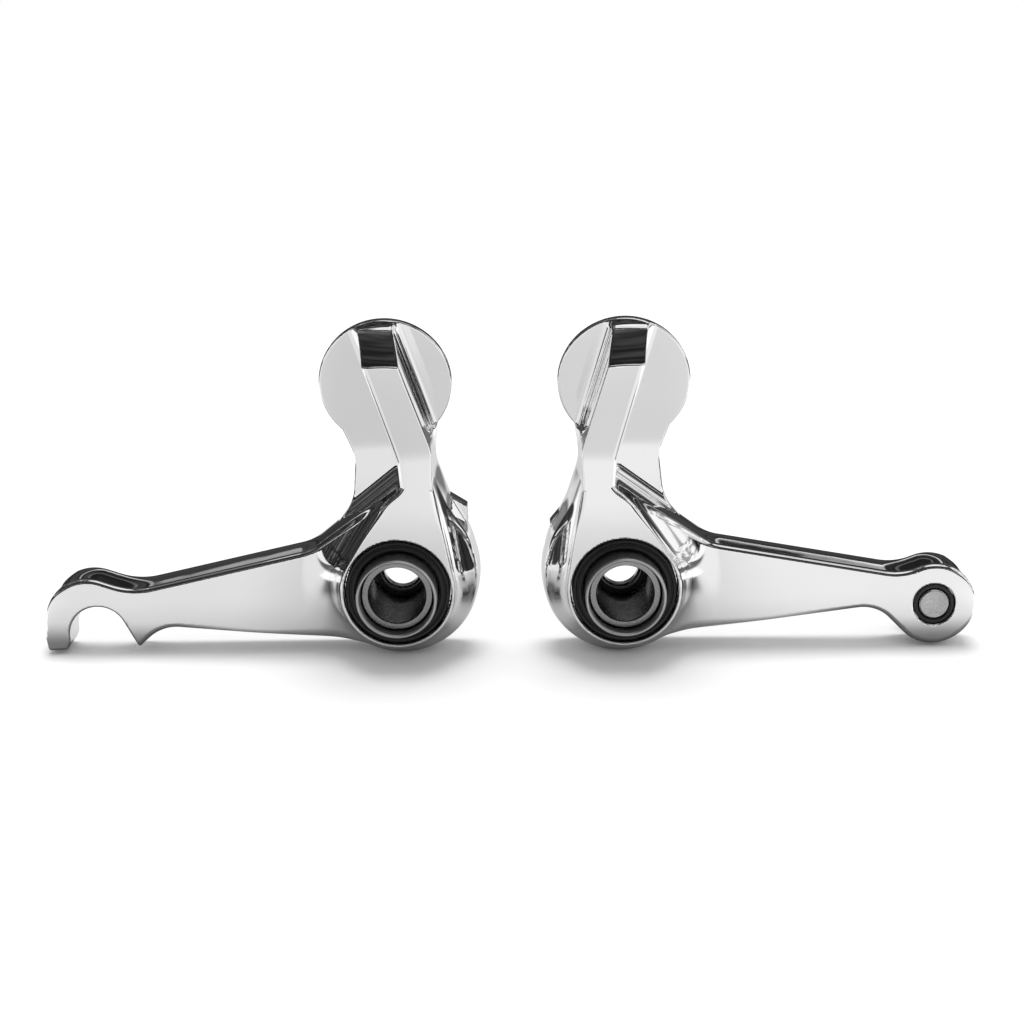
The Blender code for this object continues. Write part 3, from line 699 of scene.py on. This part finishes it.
# Upright streaks on the dark walls, and level bands that dim or brighten the whole room.
WALL_STREAKS, WALL_STRETCH, WALL_EDGE, WALL_TONES = 14.0, (1.0, 1.0, 0.15), (0.45, 0.75), (0.02, 0.12)
BANDS, BAND_STRETCH, BAND_EDGE, BAND_TONES = 4.0, (0.35, 1.2, 6.0), (0.38, 0.62), (0.35, 1.35)
BRIGHTEST = 1.02
FILL, KEY, FLOOR_WHITE, FLOOR_GLOW = 0.68, 0.54, 0.90, 0.05
KEY_DIRECTION, KEY_SPREAD = Vector((0.0, 0.21, 0.97)), 32


def soft_box(tree, direction, level, towards, reach, soft, bright):
    """The room's brightness with one round soft box added."""
    aim = add_node(tree, "ShaderNodeVectorMath", {0: direction, 1: Vector(towards).normalized()},
                   operation="DOT_PRODUCT").outputs["Value"]
    inner, outer = math.cos(math.radians(reach - soft)), math.cos(math.radians(reach + soft))
    share = between(tree, aim, outer, inner, 0.0, 1.0)
    return maths(tree, "MULTIPLY_ADD", share, maths(tree, "SUBTRACT", bright, level), level)


def lit_strip(tree, height, level, low, high, bright):
    """The room's brightness with one level strip of light added."""
    bottom, top = math.sin(math.radians(low)), math.sin(math.radians(high))
    away = maths(tree, "ABSOLUTE", maths(tree, "SUBTRACT", height, (bottom + top) / 2))
    core, edge = (top - bottom) * STRIP_CORE, (top - bottom) * STRIP_EDGE
    return maths(tree, "MAXIMUM", level, between(tree, away, core, edge, bright, 0.0))


def room(tree):
    """What the metal reflects: a dark room with soft boxes, strips of light and bands."""
    direction = tree.nodes.new("ShaderNodeTexCoord").outputs["Generated"]
    streaks = noise(tree, direction, WALL_STREAKS, 3.0, WALL_STRETCH)
    level = between(tree, streaks, *WALL_EDGE, *WALL_TONES)
    for box in BOXES:
        level = soft_box(tree, direction, level, *box)
    height = add_node(tree, "ShaderNodeSeparateXYZ", {"Vector": direction}).outputs["Z"]
    for strip in STRIPS:
        level = lit_strip(tree, height, level, *strip)
    bands = noise(tree, direction, BANDS, 2.0, BAND_STRETCH)
    level = maths(tree, "MULTIPLY", level, between(tree, bands, *BAND_EDGE, *BAND_TONES))
    return maths(tree, "MINIMUM", level, BRIGHTEST)


def studio():
    """White all round for the camera, an even fill light, and the dark room in the metal."""
    world = bpy.data.worlds.new("studio")
    bpy.context.scene.world = world
    world.use_nodes = True
    world.cycles.sampling_method = "NONE"
    tree = world.node_tree
    tree.nodes.clear()
    level = room(tree)
    rays = tree.nodes.new("ShaderNodeLightPath")
    seen = maths(tree, "MULTIPLY", rays.outputs["Is Glossy Ray"],
                 maths(tree, "SUBTRACT", 1.0, rays.outputs["Is Camera Ray"]))
    soft = maths(tree, "MULTIPLY_ADD", rays.outputs["Is Camera Ray"], 1.0 - FILL, FILL)
    level = maths(tree, "MULTIPLY_ADD", seen, maths(tree, "SUBTRACT", level, soft), soft)
    light = add_node(tree, "ShaderNodeBackground", {"Color": level, "Strength": 1.0})
    out = tree.nodes.new("ShaderNodeOutputWorld")
    tree.links.new(light.outputs[0], out.inputs["Surface"])


def key_light():
    """Large soft box overhead and a little behind, which sets the shadows on the floor."""
    data = bpy.data.lights.new("overhead", "SUN")
    data.angle = math.radians(KEY_SPREAD)
    data.energy = math.pi * KEY / KEY_DIRECTION.normalized().z
    made = bpy.data.objects.new("overhead", data)
    bpy.context.scene.collection.objects.link(made)
    made.rotation_euler = KEY_DIRECTION.to_track_quat("Z", "Y").to_euler()
    made.visible_glossy = False


# --- Floor ----------------------------------------------------------------------------------

FLOOR_HALF, MIRRORED_HEIGHT = 6.0, 0.0001
# Painted shade on the floor that only the metal sees: darker on its left, lighter on its right.
MIRRORED_SHADE_EDGE, MIRRORED_SHADE_TONES = (-0.05, 0.03), (0.67, 0.75)
UP, DOWN = (0.0, 1.0), (1.0, 0.0)
PAST_ARMS, SIDEWAYS, FRONT_CORNER = (0.106, 0.120), (0.17, 0.25), (-0.22, -0.16)
# Painted shade and painted light on the mirrored floor, in metres: ramps over the distance from the
# middle, ramps over the distance back, and how much the patch darkens (or brightens, below nought).
SHADE_PATCHES = [
    # painted shade in the middle of the floor, from in front of the levers backwards
    ([(0.040, 0.070, *DOWN)], [(-0.160, -0.095, *UP)], 0.22),
    # painted shadow under both levers
    ([(*PAST_ARMS, *DOWN)], [(-0.045, -0.008, *UP), (0.0, 0.020, *DOWN)], 0.20),
    # painted shadow where the arms' ends stand
    ([(0.060, 0.080, *UP), (*PAST_ARMS, *DOWN)], [(-0.026, -0.008, *UP), (0.0, 0.010, *DOWN)], 0.7),
    # painted shade far behind
    ([], [(0.24, 0.32, *UP)], 0.78),
    # painted shade far to the sides, and painted light in front of that
    ([(*SIDEWAYS, *UP)], [(*FRONT_CORNER, *UP)], 0.85),
    ([(*SIDEWAYS, *UP)], [(*FRONT_CORNER, *DOWN)], -0.15),
    # painted light just past the arms' ends
    ([(*PAST_ARMS, *UP)], [(-0.060, -0.030, *UP)], -0.35),
]


def floor_plane(name, height, glow):
    """A wide level floor, with its material's tree and its diffuse shader."""
    size = FLOOR_HALF
    corners = [(-size, -size, height), (size, -size, height), (size, size, height), (-size, size, height)]
    floor = mesh_object(name, corners, np.array([[0, 1, 2, 3]]))
    paint = bpy.data.materials.new(name)
    paint.use_nodes = True
    tree = paint.node_tree
    tree.nodes.clear()
    colour = (FLOOR_WHITE, FLOOR_WHITE, FLOOR_WHITE, 1.0)
    white = add_node(tree, "ShaderNodeBsdfDiffuse", {"Color": colour})
    light = add_node(tree, "ShaderNodeEmission", {"Color": (1, 1, 1, 1), "Strength": glow})
    both = tree.nodes.new("ShaderNodeAddShader")
    tree.links.new(white.outputs[0], both.inputs[0])
    tree.links.new(light.outputs[0], both.inputs[1])
    out = tree.nodes.new("ShaderNodeOutputMaterial")
    tree.links.new(both.outputs[0], out.inputs["Surface"])
    floor.data.materials.append(paint)
    return floor, tree, white


def mirrored_painted_shade(tree):
    """The floor that only the metal sees: painted shade, shadow and light, place by place."""
    place = tree.nodes.new("ShaderNodeNewGeometry").outputs["Position"]
    across, along, _ = add_node(tree, "ShaderNodeSeparateXYZ", {"Vector": place}).outputs
    aside = maths(tree, "ABSOLUTE", across)
    tone = between(tree, across, *MIRRORED_SHADE_EDGE, *MIRRORED_SHADE_TONES)
    for aside_ramps, along_ramps, depth in SHADE_PATCHES:
        ramps = [between(tree, aside, *ends) for ends in aside_ramps]
        ramps += [between(tree, along, *ends) for ends in along_ramps]
        patch = functools.reduce(functools.partial(maths, tree, "MULTIPLY"), ramps)
        tone = maths(tree, "MULTIPLY", tone, maths(tree, "MULTIPLY_ADD", patch, -depth, 1.0))
    return tone


def ground():
    """Plain white floor that keeps the soft shadows, and a greyer one only the metal sees, which carries
    painted shade and shadows.
    """
    floor, _, _ = floor_plane("white_floor", 0.0, FLOOR_GLOW)
    floor.visible_glossy = False
    floor.visible_shadow = False
    mirrored, tree, white = floor_plane("mirrored_floor", MIRRORED_HEIGHT, 0.0)
    mirrored.visible_camera = False
    mirrored.visible_diffuse = False
    mirrored.visible_shadow = False
    tree.links.new(mirrored_painted_shade(tree), white.inputs["Color"])


# --- Camera ---------------------------------------------------------------------------------

CAMERA_PLACE = (0.000552, -0.409261, 0.135941)
CAMERA_PITCH, CAMERA_ROLL = math.radians(14.3), math.radians(-0.52)
LENS, SENSOR, CLIP_NEAR, CLIP_FAR = 67.43, 36.0, 0.01, 20.0


def camera():
    """Looks slightly down at both levers from the front, a touch rolled like the photograph."""
    look = Vector((0, math.cos(CAMERA_PITCH), -math.sin(CAMERA_PITCH)))
    level_right = Vector((1, 0, 0))
    level_up = Vector((0, math.sin(CAMERA_PITCH), math.cos(CAMERA_PITCH)))
    right = level_right * math.cos(CAMERA_ROLL) + level_up * math.sin(CAMERA_ROLL)
    up = level_up * math.cos(CAMERA_ROLL) - level_right * math.sin(CAMERA_ROLL)
    data = bpy.data.cameras.new("camera")
    data.lens, data.sensor_width = LENS, SENSOR
    data.clip_start, data.clip_end = CLIP_NEAR, CLIP_FAR
    made = bpy.data.objects.new("camera", data)
    bpy.context.scene.collection.objects.link(made)
    facing = Matrix((right, up, -look)).transposed().to_4x4()
    made.matrix_world = Matrix.Translation(CAMERA_PLACE) @ facing
    bpy.context.scene.camera = made


PAINTS = all_paints()
for lever_side in SIDES:
    lever(lever_side, PAINTS["polished_metal"])
    lever_fittings(lever_side, PAINTS)
    pivot_stack(lever_side, PAINTS)
linkage(PAINTS)
studio()
key_light()
ground()
camera()
bpy.context.scene.view_settings.view_transform = "Standard"
